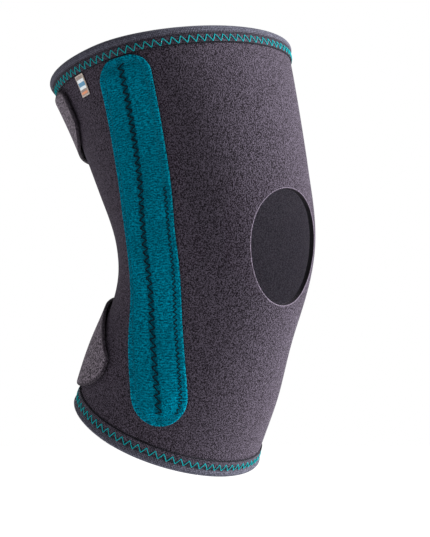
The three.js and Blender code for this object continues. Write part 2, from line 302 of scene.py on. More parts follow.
# %% [markdown]
# ## From a grid to a piece
# A piece of cloth on this leg is a grid of places with a low and a high face that meet in a rounded edge.
# `rounded` gives the share of the full thickness at a distance from the edge, like the edge of a
# cushion, and `spaced` puts more rows where that edge turns. `build` makes the object, with distances on
# the cloth as its UV map and a value for the edge, so that a finish can follow both.

# %% Meshes
def rounded(distance, radius):
    short = 1 - np.clip(np.asarray(distance) / radius, 0, 1)
    return np.sqrt(1 - short**2)


def spaced(size, rim, step):
    """Distances over a size, closer together within rim of both ends, as shares."""
    edge = rim * np.array([0, 0.06, 0.22, 0.5])
    inside = np.linspace(rim, size - rim, max(2, round((size - 2 * rim) / step) + 1))
    return np.concatenate([edge, inside, (size - edge)[::-1]]) / size


def build(name, points, faces, flat=None, values=None):
    """An object from points and faces, with distances on the cloth and named values at its points."""
    mesh = bpy.data.meshes.new(name)
    used = np.unique(np.concatenate([np.ravel(face) for face in faces]))
    renumber = np.zeros(len(points), int)
    renumber[used] = np.arange(len(used))
    faces = [renumber[np.asarray(face)].tolist() for face in faces]
    mesh.from_pydata(np.asarray(points)[used].tolist(), [], faces)
    solid = bmesh.new()
    solid.from_mesh(mesh)
    bmesh.ops.recalc_face_normals(solid, faces=solid.faces)
    solid.to_mesh(mesh)
    solid.free()
    if flat is not None:
        corners = np.empty(len(mesh.loops), int)
        mesh.loops.foreach_get("vertex_index", corners)
        layer = mesh.uv_layers.new(name="UVMap")
        layer.data.foreach_set("uv", np.asarray(flat)[used][corners].ravel())
    for label, column in (values or {}).items():
        attribute = mesh.attributes.new(label, "FLOAT", "POINT")
        attribute.data.foreach_set("value", np.asarray(column, float)[used])
    mesh.polygons.foreach_set("use_smooth", [True] * len(mesh.polygons))
    piece = bpy.data.objects.new(name, mesh)
    bpy.context.collection.objects.link(piece)
    print(name, len(mesh.vertices), "points", len(mesh.polygons), "faces")
    return piece


def shell(name, across, up, place):
    """A closed piece of cloth. place gives angle, share, low, high, flat distances and an edge value."""
    u, v = np.meshgrid(across, up, indexing="ij")
    spot = place(u, v)
    high = skin(spot["angle"], spot["share"], spot["high"])
    low = skin(spot["angle"], spot["share"], spot["low"])
    top = np.arange(u.size).reshape(u.shape)
    under = top + u.size
    border = np.ones(u.shape, bool)
    border[1:-1, 1:-1] = False
    under[border] = top[border]
    faces = []
    for index, order in ((top, (0, 3, 2, 1)), (under, (0, 1, 2, 3))):
        ring = [index[:-1, :-1], index[1:, :-1], index[1:, 1:], index[:-1, 1:]]
        faces += list(np.stack([ring[k] for k in order], -1).reshape(-1, 4))
    points = np.concatenate([high.reshape(-1, 3), low.reshape(-1, 3)])
    flat = np.stack([spot["x"].ravel(), spot["y"].ravel()], 1)
    edge = spot["edge"].ravel()
    piece = build(
        name,
        points,
        np.array(faces),
        np.concatenate([flat, flat]),
        {"edge": np.concatenate([edge, edge])},
    )
    piece["under"] = u.size
    return piece


# %% [markdown]
# ## The foam wrap
# The wrap is one panel of laminated foam: fuzzy cloth outside, black foam, and a plain lining. It could be
# a cylinder with a boolean hole, but a boolean leaves thin triangles right at the rim that the eye goes
# to. Here the grid has a square block taken out round the kneecap, and rings lead from the square to the
# oval, so the rim is one clean loop. The cut edges are lofted through the three layers.

# %% The wrap's outline
WRAP_WALL = 0.003
BACK_GAP, HOLLOW_WIDTH, HOLLOW_HEIGHT, HOLLOW_RISE = 0.022, 0.062, 0.092, 0.011
KNEECAP_WIDTH, KNEECAP_HEIGHT = 0.054, 0.063
BINDING_WIDTH, BINDING_TAPE, SEAM_CLEARANCE = 0.0105, 0.001, 0.0003
BACK = 180.0


def back_edge(share):
    """The angle of the wrap's back edge."""
    middle = 0.5 + HOLLOW_RISE / WRAP_LENGTH
    off = (np.asarray(share) - middle) * WRAP_LENGTH / (HOLLOW_HEIGHT / 2)
    bow = np.sqrt(np.maximum(0, 1 - off**2))
    half = BACK_GAP / 2 + (HOLLOW_WIDTH / 2 - BACK_GAP / 2) * bow
    return BACK - half / per_degree(BACK, share)


def panel_spot(u, v, inset):
    """A place on the wrap, with its four edges drawn in by inset."""
    hem = BINDING_TAPE + SEAM_CLEARANCE + inset
    edge = back_edge(v)
    angle = (2 * u - 1) * (edge - inset / per_degree(edge, v))
    low, high = from_lower_hem(angle, hem), from_upper_hem(angle, hem)
    return angle, low + (high - low) * v


def kneecap_spot(turn, inset):
    """A place on the rim of the kneecap hole, or outside it by inset."""
    share = 0.5 + (KNEECAP_HEIGHT / 2 + inset) * np.sin(turn) / per_share(0.0, 0.5)
    return (KNEECAP_WIDTH / 2 + inset) * np.cos(turn) / per_degree(0.0, share), share


# %% The wrap's grid
PANEL_COLUMNS, PANEL_ROWS = 200, 110
BLOCK_WIDTH, BLOCK_HEIGHT = 0.078, 0.088
BLOCK_RINGS = 9
RIM_FROM = 0.0007


def wrap_layout():
    """Places on the wrap, its four-sided faces, and the loops at its outer edge and at the hole."""
    u, v = np.meshgrid(
        np.linspace(0, 1, PANEL_COLUMNS + 1), np.linspace(0, 1, PANEL_ROWS + 1), indexing="ij"
    )
    angle, share = panel_spot(u, v, RIM_FROM)
    index = np.arange(u.size).reshape(u.shape)
    half = round(BLOCK_WIDTH / 2 / (per_degree(0.0, 0.5) * 2 * back_edge(0.5) / PANEL_COLUMNS))
    tall = round(BLOCK_HEIGHT / 2 / (per_share(0.0, 0.5) / PANEL_ROWS))
    i0, i1 = PANEL_COLUMNS // 2 - half, PANEL_COLUMNS // 2 + half
    j0, j1 = PANEL_ROWS // 2 - tall, PANEL_ROWS // 2 + tall
    quads = np.stack([index[:-1, :-1], index[1:, :-1], index[1:, 1:], index[:-1, 1:]], -1)
    keep = np.ones(quads.shape[:2], bool)
    keep[i0:i1, j0:j1] = False
    faces = [quads[keep]]
    block = loop_round(index[i0 : i1 + 1, j0 : j1 + 1])
    x = angle.ravel()[block] * per_degree(0.0, 0.5) / KNEECAP_WIDTH
    y = (share.ravel()[block] - 0.5) * per_share(0.0, 0.5) / KNEECAP_HEIGHT
    hole_angle, hole_share = kneecap_spot(np.arctan2(y, x), RIM_FROM)
    angles, shares, loops = [angle.ravel()], [share.ravel()], [block]
    for ring in range(1, BLOCK_RINGS + 1):
        t = (ring / BLOCK_RINGS) ** 0.9
        angles.append(angle.ravel()[block] * (1 - t) + hole_angle * t)
        shares.append(share.ravel()[block] * (1 - t) + hole_share * t)
        loops.append(np.arange(len(block)) + u.size + (ring - 1) * len(block))
        faces.append(strip(loops[-2], loops[-1]))
    return (
        np.concatenate(angles),
        np.concatenate(shares),
        np.concatenate(faces),
        loop_round(index),
        loops[-1],
        np.arctan2(y, x),
        (u, v),
    )


def loop_round(index):
    """The outer loop of a grid of numbers."""
    return np.concatenate([index[:-1, 0], index[-1, :-1], index[:0:-1, -1], index[0, :0:-1]])


def strip(one, other):
    """Faces between two loops of the same length."""
    return np.stack([one, np.roll(one, -1), np.roll(other, -1), other], -1)


# %% The wrap's cut edges
# Each row is a distance in from the cut and a depth below the outside.
CUT_EDGE = [
    (0.00035, 0.00004),
    (0.00008, 0.00022),
    (0.0, 0.0005),
    (0.00012, 0.0008),
    (0.0002, 0.0015),
    (0.00014, 0.0022),
    (0.00002, 0.0025),
    (0.00012, 0.0028),
    (0.0004, 0.00297),
]


def foam_wrap():
    angle, share, faces, border, hole, turn, (u, v) = wrap_layout()
    count = len(angle)
    places = [skin(angle, share, np.zeros(count)), skin(angle, share, np.full(count, -WRAP_WALL))]
    layers = [np.zeros(count), np.ones(count)]
    flats = [np.stack([angle * per_degree(0.0, 0.5), share * WRAP_LENGTH], 1)] * 2
    faces = [faces, faces[:, ::-1] + count]
    border_u, border_v = (grid.ravel()[border] for grid in (u, v))
    for loop, spot in (
        (border, lambda inset: panel_spot(border_u, border_v, inset)),
        (hole, lambda inset: kneecap_spot(turn, inset)),
    ):
        last = loop
        for inset, depth in CUT_EDGE:
            here = sum(len(p) for p in places) + np.arange(len(loop))
            edge_angle, edge_share = spot(inset)
            places.append(skin(edge_angle, edge_share, np.full(len(loop), -depth)))
            layers.append(np.full(len(loop), depth / WRAP_WALL))
            flats.append(np.stack([edge_angle * per_degree(0.0, 0.5), edge_share * WRAP_LENGTH], 1))
            faces.append(strip(last, here))
            last = here
        faces.append(strip(last, loop + count))
    return build(
        "wrap",
        np.concatenate(places),
        np.concatenate(faces),
        np.concatenate(flats),
        {"layer": np.concatenate(layers)},
    )


wrap = foam_wrap()

# %% [markdown]
# ## The bound hems
# Folded tape holds each hem. It is puffed over the fold and drawn down where the zigzag goes through. A
# bevelled curve would give it one round section, so it is swept through a drawn section instead, and a
# little ripple in step with the stitches shows how the thread pulls the tape.

# %% The tape
ZIGZAG_REPEAT = 0.0048
TOP_ZIGZAG = (0.0058, 0.0098)
BOTTOM_ZIGZAG = (0.0044, 0.0081)
TAPE_STEPS = 560
TAPE_PUFF = 0.0019
TAPE_DRAWN = 0.0009
TAPE_PULL, TAPE_PULL_REACH = 0.00022, 0.0024
TAPE_FOLD_ROUND, TAPE_CUT_ROUND = 0.0026, 0.0006
TAPE_FOLD_ROWS = np.array([0.0, 0.00006, 0.00022, 0.0005, 0.0009, 0.0014, 0.002, 0.0027])
TAPE_FLAT_ROWS = np.linspace(0.0036, BINDING_WIDTH - 0.0006, 9)
TAPE_CUT_ROWS = np.array([0.00035, 0.0001, 0.0])
TAPE_INSIDE = [
    (BINDING_WIDTH - 0.0002, -WRAP_WALL - SEAM_CLEARANCE * 0.6),
    (BINDING_TAPE, -WRAP_WALL - SEAM_CLEARANCE),
    (BINDING_TAPE, SEAM_CLEARANCE),
    (BINDING_WIDTH - 0.0002, SEAM_CLEARANCE * 0.6),
]


def smooth(value, low, high):
    t = np.clip((np.asarray(value) - low) / (high - low), 0, 1)
    return t * t * (3 - 2 * t)


def evenly(corners, count):
    """Evenly spaced points on a path through corners."""
    corners = np.array(corners)
    run = np.concatenate([[0], np.cumsum(length(np.diff(corners, axis=0)))])
    at = np.linspace(0, run[-1], count)
    return np.stack([np.interp(at, run, corners[:, k]) for k in range(corners.shape[1])], 1)


def tape_height(x, zigzag):
    """The height of the tape's outside at a distance from the fold."""
    fold = rounded(x, TAPE_FOLD_ROUND)
    drawn = smooth(x, zigzag[0] - 0.0028, zigzag[0] + 0.0004)
    cut = rounded(BINDING_WIDTH - x, TAPE_CUT_ROUND)
    height = TAPE_PUFF - (TAPE_PUFF - TAPE_DRAWN) * drawn
    return fold, height, cut


def hem_angles(share_at, step):
    """Angles evenly spaced along a hem, from back edge to back edge."""
    edge = back_edge(share_at(0.0))
    angles = np.linspace(-edge, edge, 2000)
    points = leg_point(angles, share_at(angles))
    run = np.concatenate([[0], np.cumsum(length(np.diff(points, axis=0)))])
    count = max(2, round(run[-1] / step))
    return np.interp(np.linspace(0, run[-1], count + 1), run, angles)


def tape(name, hem, from_hem, zigzag):
    xs = np.concatenate([TAPE_FOLD_ROWS, TAPE_FLAT_ROWS, BINDING_WIDTH - TAPE_CUT_ROWS])
    fold, height, cut = tape_height(xs, zigzag)
    middle = -WRAP_WALL / 2
    outer = middle + (height - middle) * fold
    outer = np.where(xs > BINDING_WIDTH / 2, SEAM_CLEARANCE + (outer - SEAM_CLEARANCE) * cut, outer)
    inner = 2 * middle - outer
    outside = np.stack(
        [np.concatenate([xs[::-1], xs[1:]]), np.concatenate([outer[::-1], inner[1:]])], 1
    )
    inside = evenly(TAPE_INSIDE, len(outside))
    section = np.concatenate([outside, inside])
    edge = float(back_edge(float(hem)))
    angles = np.linspace(-edge, edge, TAPE_STEPS + 1)
    line = leg_point(angles, from_hem(angles, BINDING_WIDTH / 2))
    run = np.concatenate([[0], np.cumsum(length(np.diff(line, axis=0)))])
    x, angle = np.meshgrid(section[:, 0], angles)
    y = np.broadcast_to(section[:, 1], x.shape).copy()
    pull = np.exp(-(((x - sum(zigzag) / 2) / TAPE_PULL_REACH) ** 2)) * (section[:, 1] > SEAM_CLEARANCE)
    y -= TAPE_PULL * pull * (0.5 + 0.5 * np.cos(run[:, None] / ZIGZAG_REPEAT * 4 * np.pi))
    points = skin(angle, from_hem(angle, x), y)
    size = len(section)
    index = np.arange(points[..., 0].size).reshape(len(angles), size)
    faces = [face for i in range(TAPE_STEPS) for face in strip(index[i], index[i + 1])]
    for ring in (index[0], index[-1]):
        out, back_in = ring[: size // 2], ring[: size // 2 - 1 : -1]
        faces += list(np.stack([out[:-1], out[1:], back_in[1:], back_in[:-1]], -1))
    around = np.concatenate([[0], np.cumsum(length(np.diff(section, axis=0)))])
    flat = np.stack(np.broadcast_arrays(around[None, :], run[:, None]), -1).reshape(-1, 2)
    return build(name, points.reshape(-1, 3), faces, flat, {"from_fold": x.ravel()})


top_tape = tape("top_tape", 1, from_upper_hem, TOP_ZIGZAG)
bottom_tape = tape("bottom_tape", 0, from_lower_hem, BOTTOM_ZIGZAG)

# %% [markdown]
# ## The padded strips
# A flat stay lies on each side of the knee under a padded velour cover. The cover is sewn down all round
# and once more down its middle, so it stands up as two long lobes. Carving the lobes by a formula gives
# them all one shape, so the cover is pinned at its seams and blown up a little as cloth, and a cap on the
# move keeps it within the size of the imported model.

# %% The strip's outline
STAY_WIDTH, STAY_ABOVE_HEM = 0.034, 0.0224
STAY_TOP_CORNER, STAY_BOTTOM_CORNER = 0.011, 0.0145
STAY_EDGE, STAY_LOBE = 0.0012, 0.003
STAY_SEAM_IN = 0.0042
STAY_REPEAT, STAY_SWING = 0.0042, 0.0019
STAY_SQUARE_UNTIL = 0.75
STAY_TOP_GAP = BINDING_WIDTH + SEAM_CLEARANCE


def corner_inset(distance, radius):
    into = np.maximum(0, radius - distance)
    return radius - np.sqrt(np.maximum(radius**2 - into**2, 0))


def stay_middle(side, up):
    """The share of the wrap's length at a share of the strip's, and the angle of its middle there."""
    low, high = STAY_ABOVE_HEM / WRAP_LENGTH, 1 - STAY_TOP_GAP / WRAP_LENGTH
    nominal = low + up * (high - low)
    return nominal, side * through(SECTIONS["outer_stay" if side > 0 else "inner_stay"], nominal)


def between_hems(angle, up):
    low, high = from_lower_hem(angle, STAY_ABOVE_HEM), from_upper_hem(angle, STAY_TOP_GAP)
    return low + (high - low) * up


def stay_slant(side, up):
    """How far a step round the leg runs along the strip, for each unit of the step."""
    middle = stay_middle(side, up)[1]
    around = leg_point(middle + 1, between_hems(middle + 1, up)) - leg_point(
        middle - 1, between_hems(middle - 1, up)
    )
    ends = []
    for place in (up + NEAR, up - NEAR):
        at = stay_middle(side, place)[1]
        ends.append(leg_point(at, between_hems(at, place)))
    along = ends[0] - ends[1]
    slant = (around * along).sum(-1) / (length(around) * length(along))
    return slant * (1 - smooth(up, STAY_SQUARE_UNTIL, 1))


def stay_spot(side, u, up):
    """A place on the strip, its half width and its distance from the nearer end."""
    nominal, middle = stay_middle(side, up)
    from_bottom = nominal * WRAP_LENGTH - STAY_ABOVE_HEM
    from_top = (1 - nominal) * WRAP_LENGTH - STAY_TOP_GAP
    half = (
        STAY_WIDTH / 2 * through(SECTIONS["stay_width"], nominal)
        - corner_inset(from_top, STAY_TOP_CORNER)
        - corner_inset(from_bottom, STAY_BOTTOM_CORNER)
    )
    off = (2 * u - 1) * half
    angle = middle + off / per_degree(middle, nominal)
    level = between_hems(angle, up)
    share = level - off * stay_slant(side, up) / per_share(angle, level)
    return angle, share, half, np.minimum(from_bottom, from_top)


SEWN_EDGE_REACH, SEWN_MIDDLE_REACH = 0.0004, 0.0006
PUFF_SCALE = 10.0
PUFF_FRAMES = 16
PUFF_PRESSURE = 3.0
PUFF_CAP = 0.0009


def puff(piece):
    """Blows the cover up a little between its seams, as cloth."""
    mesh = piece.data
    start = np.empty((len(mesh.vertices), 3))
    mesh.vertices.foreach_get("co", start.ravel())
    edge = np.empty(len(start))
    mesh.attributes["edge"].data.foreach_get("value", edge)
    corners = np.empty(len(mesh.loops), int)
    mesh.loops.foreach_get("vertex_index", corners)
    uv = np.empty(2 * len(mesh.loops))
    mesh.uv_layers["UVMap"].data.foreach_get("uv", uv)
    flat = np.empty((len(start), 2))
    flat[corners] = uv.reshape(-1, 2)
    swing = STAY_SWING * np.sin(2 * np.pi * flat[:, 1] / STAY_REPEAT)
    rest = np.zeros(len(start), bool)
    rest[piece["under"] :] = True
    sewn = (edge < STAY_SEAM_IN - SEWN_EDGE_REACH) | rest
    sewn |= np.abs(flat[:, 0] - swing) < SEWN_MIDDLE_REACH
    group = piece.vertex_groups.new(name="sewn")
    group.add(np.flatnonzero(sewn).tolist(), 1.0, "REPLACE")
    mesh.vertices.foreach_set("co", (start * PUFF_SCALE).ravel())
    cloth = piece.modifiers.new("cloth", "CLOTH")
    cloth.settings.vertex_group_mass = "sewn"
    cloth.settings.use_pressure = True
    cloth.settings.uniform_pressure_force = PUFF_PRESSURE
    cloth.settings.effector_weights.gravity = 0
    cloth.settings.quality = 5
    for frame_number in range(1, PUFF_FRAMES + 1):
        bpy.context.scene.frame_set(frame_number)
    shown = piece.evaluated_get(bpy.context.evaluated_depsgraph_get())
    moved = np.empty((len(start), 3))
    shown.data.vertices.foreach_get("co", moved.ravel())
    piece.modifiers.remove(cloth)
    piece.vertex_groups.remove(group)
    move = moved / PUFF_SCALE - start
    far = length(move)[:, None]
    move *= np.minimum(1, PUFF_CAP / np.maximum(far, 1e-9))
    mesh.vertices.foreach_set("co", (start + move).ravel())
    mesh.update()
    bpy.context.scene.frame_set(1)
    print(piece.name, "puffed by up to", round(float(length(move).max()) * 1000, 2), "mm")


STAY_RIM, STAY_ROWS_AT_ENDS = 0.0011, 0.35
STAY_SEAM_DIP, STAY_SEAM_REACH = 0.0003, 0.0011
STAY_MIDDLE_DIP, STAY_MIDDLE_REACH = 0.0002, 0.0020
STAY_LOBE_POWER = 0.8
STAY_ACROSS = spaced(STAY_WIDTH, 0.0012, 0.001)
STAY_UP = spaced(0.188, 0.0012, 0.00125)


def stay_place(side):
    def place(u, v):
        up = STAY_ROWS_AT_ENDS * (0.5 - 0.5 * np.cos(np.pi * v)) + (1 - STAY_ROWS_AT_ENDS) * v
        angle, share, half, near_end = stay_spot(side, u, up)
        off_middle = np.abs(2 * u - 1) * half
        from_edge = np.minimum((1 - np.abs(2 * u - 1)) * half, near_end)
        rim = rounded(from_edge, STAY_RIM)
        seam = np.exp(-(((from_edge - STAY_SEAM_IN) / STAY_SEAM_REACH) ** 2))
        middle = np.exp(-((off_middle / STAY_MIDDLE_REACH) ** 2))
        half_lobe = STAY_WIDTH / 4 - STAY_SEAM_IN / 2
        rise, fall = (
            np.sin(np.clip(distance / half_lobe, 0, 1) * np.pi / 2) ** STAY_LOBE_POWER
            for distance in (from_edge - STAY_SEAM_IN, off_middle)
        )
        thick = STAY_EDGE + (STAY_LOBE - STAY_EDGE) * np.minimum(rise, fall)
        thick = thick - STAY_SEAM_DIP * seam - STAY_MIDDLE_DIP * middle
        low = np.full(u.shape, SEAM_CLEARANCE)
        half_thick = STAY_EDGE / 2
        high = low + half_thick + (thick - half_thick) * rim
        low = low + half_thick * (1 - rim)
        return {
            "angle": angle,
            "share": share,
            "low": low,
            "high": high,
            "x": (2 * u - 1) * half,
            "y": up * (WRAP_LENGTH - STAY_TOP_GAP - STAY_ABOVE_HEM),
            "edge": from_edge,
        }

    return place


def stay_cover(name, side):
    piece = shell(name, STAY_ACROSS, STAY_UP, stay_place(side))
    puff(piece)
    return piece


lateral_cover = stay_cover("lateral_cover", 1)
medial_cover = stay_cover("medial_cover", -1)

# %% [markdown]
# ## The closing tabs
# Two tabs of loop cloth go round the back and press onto hooks. Their noses are free, so they stand a
# little off the wrap and throw a thin shadow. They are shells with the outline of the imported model.

# %% The tabs
TAB_LENGTH, TAB_CLOTH, TAB_RIM = 0.094, 0.0018, 0.0009
HOOK_LENGTH, HOOK_WIDTH, HOOK_CLOTH, HOOK_FROM_NOSE = 0.028, 0.018, 0.0008, 0.009
TAB_SEWN_FROM = 0.9
OUTER_BACK = 150.0
HOOK_RIM = 0.0004
TABS = {
    "upper": {
        "nose": 120.5,
        "middle": 0.877,
        "along": [0, 0.015, 0.045, 0.085, 0.15, 0.3, 0.53, 0.76, 1],
        "hem": [0.024, 0.014, 0.007, 0.004, 0.004, 0.004, 0.004, 0.004, 0.004],
        "inner": [0.864, 0.85, 0.833, 0.816, 0.8, 0.79, 0.788, 0.788, 0.79],
    },
    "lower": {
        "nose": 99.0,
        "middle": 0.163,
        "along": [0, 0.02, 0.075, 0.15, 0.28, 0.42, 0.61, 0.8, 1],
        "hem": [0.115, 0.09, 0.06, 0.037, 0.012, 0.004, 0.004, 0.004, 0.004],
        "inner": [0.184, 0.196, 0.212, 0.238, 0.277, 0.298, 0.305, 0.304, 0.3],
    },
}


def behind_nose(tab, distance):
    return tab["nose"] + distance / per_degree(OUTER_BACK, tab["middle"])


def to_edge(u, width, v, height):
    """The distance from the nearest edge of a rectangle, from shares of its two sides."""
    return np.minimum(np.minimum(u, 1 - u) * width, np.minimum(v, 1 - v) * height)


def flat_cloth(angle, share, lift, cloth, rim_radius, x, y, from_edge):
    """One place on cloth of an even thickness with a rounded rim, for `shell`."""
    rim = rounded(from_edge, rim_radius)
    return {
        "angle": angle,
        "share": share,
        "low": lift + cloth / 2 * (1 - rim),
        "high": lift + cloth / 2 * (1 + rim),
        "x": x,
        "y": y,
        "edge": from_edge,
    }


def tab_lift(along):
    hook_end = (HOOK_FROM_NOSE + HOOK_LENGTH) / TAB_LENGTH
    return SEAM_CLEARANCE + (HOOK_CLOTH + SEAM_CLEARANCE) * (1 - smooth(along, hook_end, TAB_SEWN_FROM))


def tab_spot(tab, u, v):
    along = through(tab["along"], u)
    angle = behind_nose(tab, along * TAB_LENGTH)
    hem = through(tab["hem"], u)
    if tab["middle"] > 0.5:
        by_hem = from_upper_hem(angle, BINDING_WIDTH) - hem
    else:
        by_hem = from_lower_hem(angle, BINDING_WIDTH) + hem
    inner = through(tab["inner"], u)
    low, high = np.minimum(by_hem, inner), np.maximum(by_hem, inner)
    return along, angle, low + (high - low) * v, (high - low) * WRAP_LENGTH


def tab_place(tab):
    def place(u, v):
        along, angle, share, width = tab_spot(tab, u, v)
        from_edge = to_edge(along, TAB_LENGTH, v, width)
        x, y = along * TAB_LENGTH, (v - 0.5) * width
        return flat_cloth(angle, share, tab_lift(along), TAB_CLOTH, TAB_RIM, x, y, from_edge)

    return place


def tab_shell(name, tab):
    return shell(name, spaced(TAB_LENGTH, 0.0022, 0.001), spaced(0.04, 0.0012, 0.001), tab_place(tab))


upper_tab = tab_shell("upper_tab", TABS["upper"])
lower_tab = tab_shell("lower_tab", TABS["lower"])

# %% The hook patches
def hook_place(tab):
    def place(u, v):
        angle = behind_nose(tab, HOOK_FROM_NOSE + u * HOOK_LENGTH)
        share = tab["middle"] + (v - 0.5) * HOOK_WIDTH / per_share(angle, tab["middle"])
        from_edge = to_edge(u, HOOK_LENGTH, v, HOOK_WIDTH)
        x, y = u * HOOK_LENGTH, v * HOOK_WIDTH
        return flat_cloth(angle, share, SEAM_CLEARANCE, HOOK_CLOTH, HOOK_RIM, x, y, from_edge)

    return place


hooks = {
    name: shell(
        f"{name}_hooks",
        spaced(HOOK_LENGTH, 0.0006, 0.0015),
        spaced(HOOK_WIDTH, 0.0006, 0.0015),
        hook_place(TABS[name]),
    )
    for name in TABS
}

# %% [markdown]
# ## The woven label
# A small ribbon label hangs from the seam of the upper tape. It carries plain woven bands.

# %% The label
LABEL_WIDTH, LABEL_HEIGHT, LABEL_CLOTH, LABEL_ANGLE = 0.0075, 0.0125, 0.0006, 105.0
LABEL_RIM, LABEL_HANG = 0.0003, 0.0005


def label_place(u, v):
    top = from_upper_hem(LABEL_ANGLE, BINDING_WIDTH + SEAM_CLEARANCE)
    share = top - (1 - v) * LABEL_HEIGHT / per_share(LABEL_ANGLE, float(top))
    angle = LABEL_ANGLE + (u - 0.5) * LABEL_WIDTH / per_degree(LABEL_ANGLE, top)
    from_edge = to_edge(u, LABEL_WIDTH, v, LABEL_HEIGHT)
    lift = SEAM_CLEARANCE + LABEL_HANG * (1 - v) ** 2
    x, y = u * LABEL_WIDTH, v * LABEL_HEIGHT
    return flat_cloth(angle, share, lift, LABEL_CLOTH, LABEL_RIM, x, y, from_edge)


LABEL_STEP = 0.0004
label = shell(
    "label",
    spaced(LABEL_WIDTH, LABEL_STEP, LABEL_STEP),
    spaced(LABEL_HEIGHT, LABEL_STEP, LABEL_STEP),
    label_place,
)

# %% [markdown]
# ## Stitches
# A seam is hundreds of the same small arch of thread. One tree of geometry nodes puts an arch on every
# mark: a mark is a point with the run of its stitch and the way up. The marks are laid on the finished
# pieces by a ray, so the thread follows every lobe and dip.

# %% The tree of a seam
def seam_tree():
    tree = bpy.data.node_groups.new("seam", "GeometryNodeTree")
    for name, kind in (
        ("Marks", "NodeSocketGeometry"),
        ("Thread", "NodeSocketFloat"),
        ("Arch", "NodeSocketFloat"),
        ("Dip", "NodeSocketFloat"),
        ("Finish", "NodeSocketMaterial"),
    ):
        tree.interface.new_socket(name, in_out="INPUT", socket_type=kind)
    tree.interface.new_socket("Seam", in_out="OUTPUT", socket_type="NodeSocketGeometry")
    nodes = Nodes(tree)
    start = tree.nodes.new("NodeGroupInput")
    given = {socket.name: Value(nodes, socket) for socket in start.outputs if socket.name}
    vector = {"data_type": "FLOAT_VECTOR"}
    run = nodes.node("GeometryNodeInputNamedAttribute", vector, "run")
    up = nodes.node("GeometryNodeInputNamedAttribute", vector, "up")
    size = nodes.node("ShaderNodeVectorMath", {"operation": "LENGTH"}, run, out="Value")
    scale = nodes.node("ShaderNodeCombineXYZ", None, size, 1.0, 1.0)
    turned = nodes.node(
        "FunctionNodeAxesToRotation", {"primary_axis": "X", "secondary_axis": "Z"}, run, up
    )
    below = given["Dip"] * -1
    first = nodes.node("ShaderNodeCombineXYZ", None, -0.5, 0.0, below)
    last = nodes.node("ShaderNodeCombineXYZ", None, 0.5, 0.0, below)
    crest = nodes.node("ShaderNodeCombineXYZ", None, 0.0, 0.0, given["Arch"] * 2)
    arch = nodes.node("GeometryNodeCurveQuadraticBezier", None, 6, first, crest, last)
    round_ = nodes.node("GeometryNodeCurvePrimitiveCircle", None, 6, Radius=given["Thread"] * 0.5)
    thread = nodes.node(
        "GeometryNodeCurveToMesh", None, Curve=arch, Profile_Curve=round_, Fill_Caps=True
    )
    placed = nodes.node(
        "GeometryNodeInstanceOnPoints",
        None,
        Points=given["Marks"],
        Instance=thread,
        Rotation=turned,
        Scale=scale,
    )
    real = nodes.node("GeometryNodeRealizeInstances", None, placed)
    painted = nodes.node("GeometryNodeSetMaterial", None, real, Material=given["Finish"])
    end = tree.nodes.new("NodeGroupOutput")
    tree.links.new(painted.socket, end.inputs[0])
    return tree


seam = seam_tree()
print("seam tree", len(seam.nodes), "nodes")


# %% Marks on a piece
def surface_of(piece):
    mesh = piece.data
    return BVHTree.FromPolygons([v.co for v in mesh.vertices], [p.vertices for p in mesh.polygons])


REACH = 0.012


def drop(surface, places, ways):
    """Points of a piece's outside under places near the wrap."""
    points = []
    for place, way in zip(places, ways):
        hit = surface.ray_cast(Vector(place + way * REACH), Vector(-way), 2 * REACH)[0]
        points.append(place if hit is None else np.array(hit))
    return np.array(points)


def lay(surface, angle, share):
    """Points of a piece's outside and the ways out there."""
    ways = outward(angle, share)
    return drop(surface, leg_point(angle, share), ways), ways


def sew(name, ends, ways, sizes, finish):
    """One piece of thread from pairs of stitch ends. sizes are its thickness, its arch and its dip."""
    runs = ends[:, 1] - ends[:, 0]
    mesh = bpy.data.meshes.new(name)
    mesh.from_pydata(ends.mean(1).tolist(), [], [])
    for label_, column in (("run", runs), ("up", ways)):
        mesh.attributes.new(label_, "FLOAT_VECTOR", "POINT").data.foreach_set("vector", column.ravel())
    marks = bpy.data.objects.new(name, mesh)
    bpy.context.collection.objects.link(marks)
    modifier = marks.modifiers.new("seam", "NODES")
    modifier.node_group = seam
    given = dict(zip(("Thread", "Arch", "Dip", "Finish"), (*sizes, finish)))
    for socket in seam.interface.items_tree:
        if socket.name in given:
            modifier[socket.identifier] = given[socket.name]
    sewn = bpy.data.meshes.new_from_object(marks.evaluated_get(bpy.context.evaluated_depsgraph_get()))
    marks.modifiers.remove(modifier)
    marks.data = sewn
    sewn.name = name
    bpy.data.meshes.remove(mesh)
    sewn.polygons.foreach_set("use_smooth", [True] * len(sewn.polygons))
    print(name, len(ends), "stitches", len(sewn.polygons), "faces")
    return marks


# %% [markdown]
# ## Finishes
# Each finish is built from what the cloth is: a coarse fuzz in clumps for the wrap, a tight smooth weave
# for the tape, ribs across the velour, loops on the tabs. The grain sizes are real sizes, so they look
# right from any distance. The tape and the velour also carry painted shade and a painted highlight: dark
# bands in the tape's dip and at its cut edge, a dark valley down each strip and lighter dots along its
# rim.

# %% The wrap's cloth
MATT = {"Roughness": 0.95, "Specular_IOR_Level": 0.05, "Sheen_Roughness": 0.4}


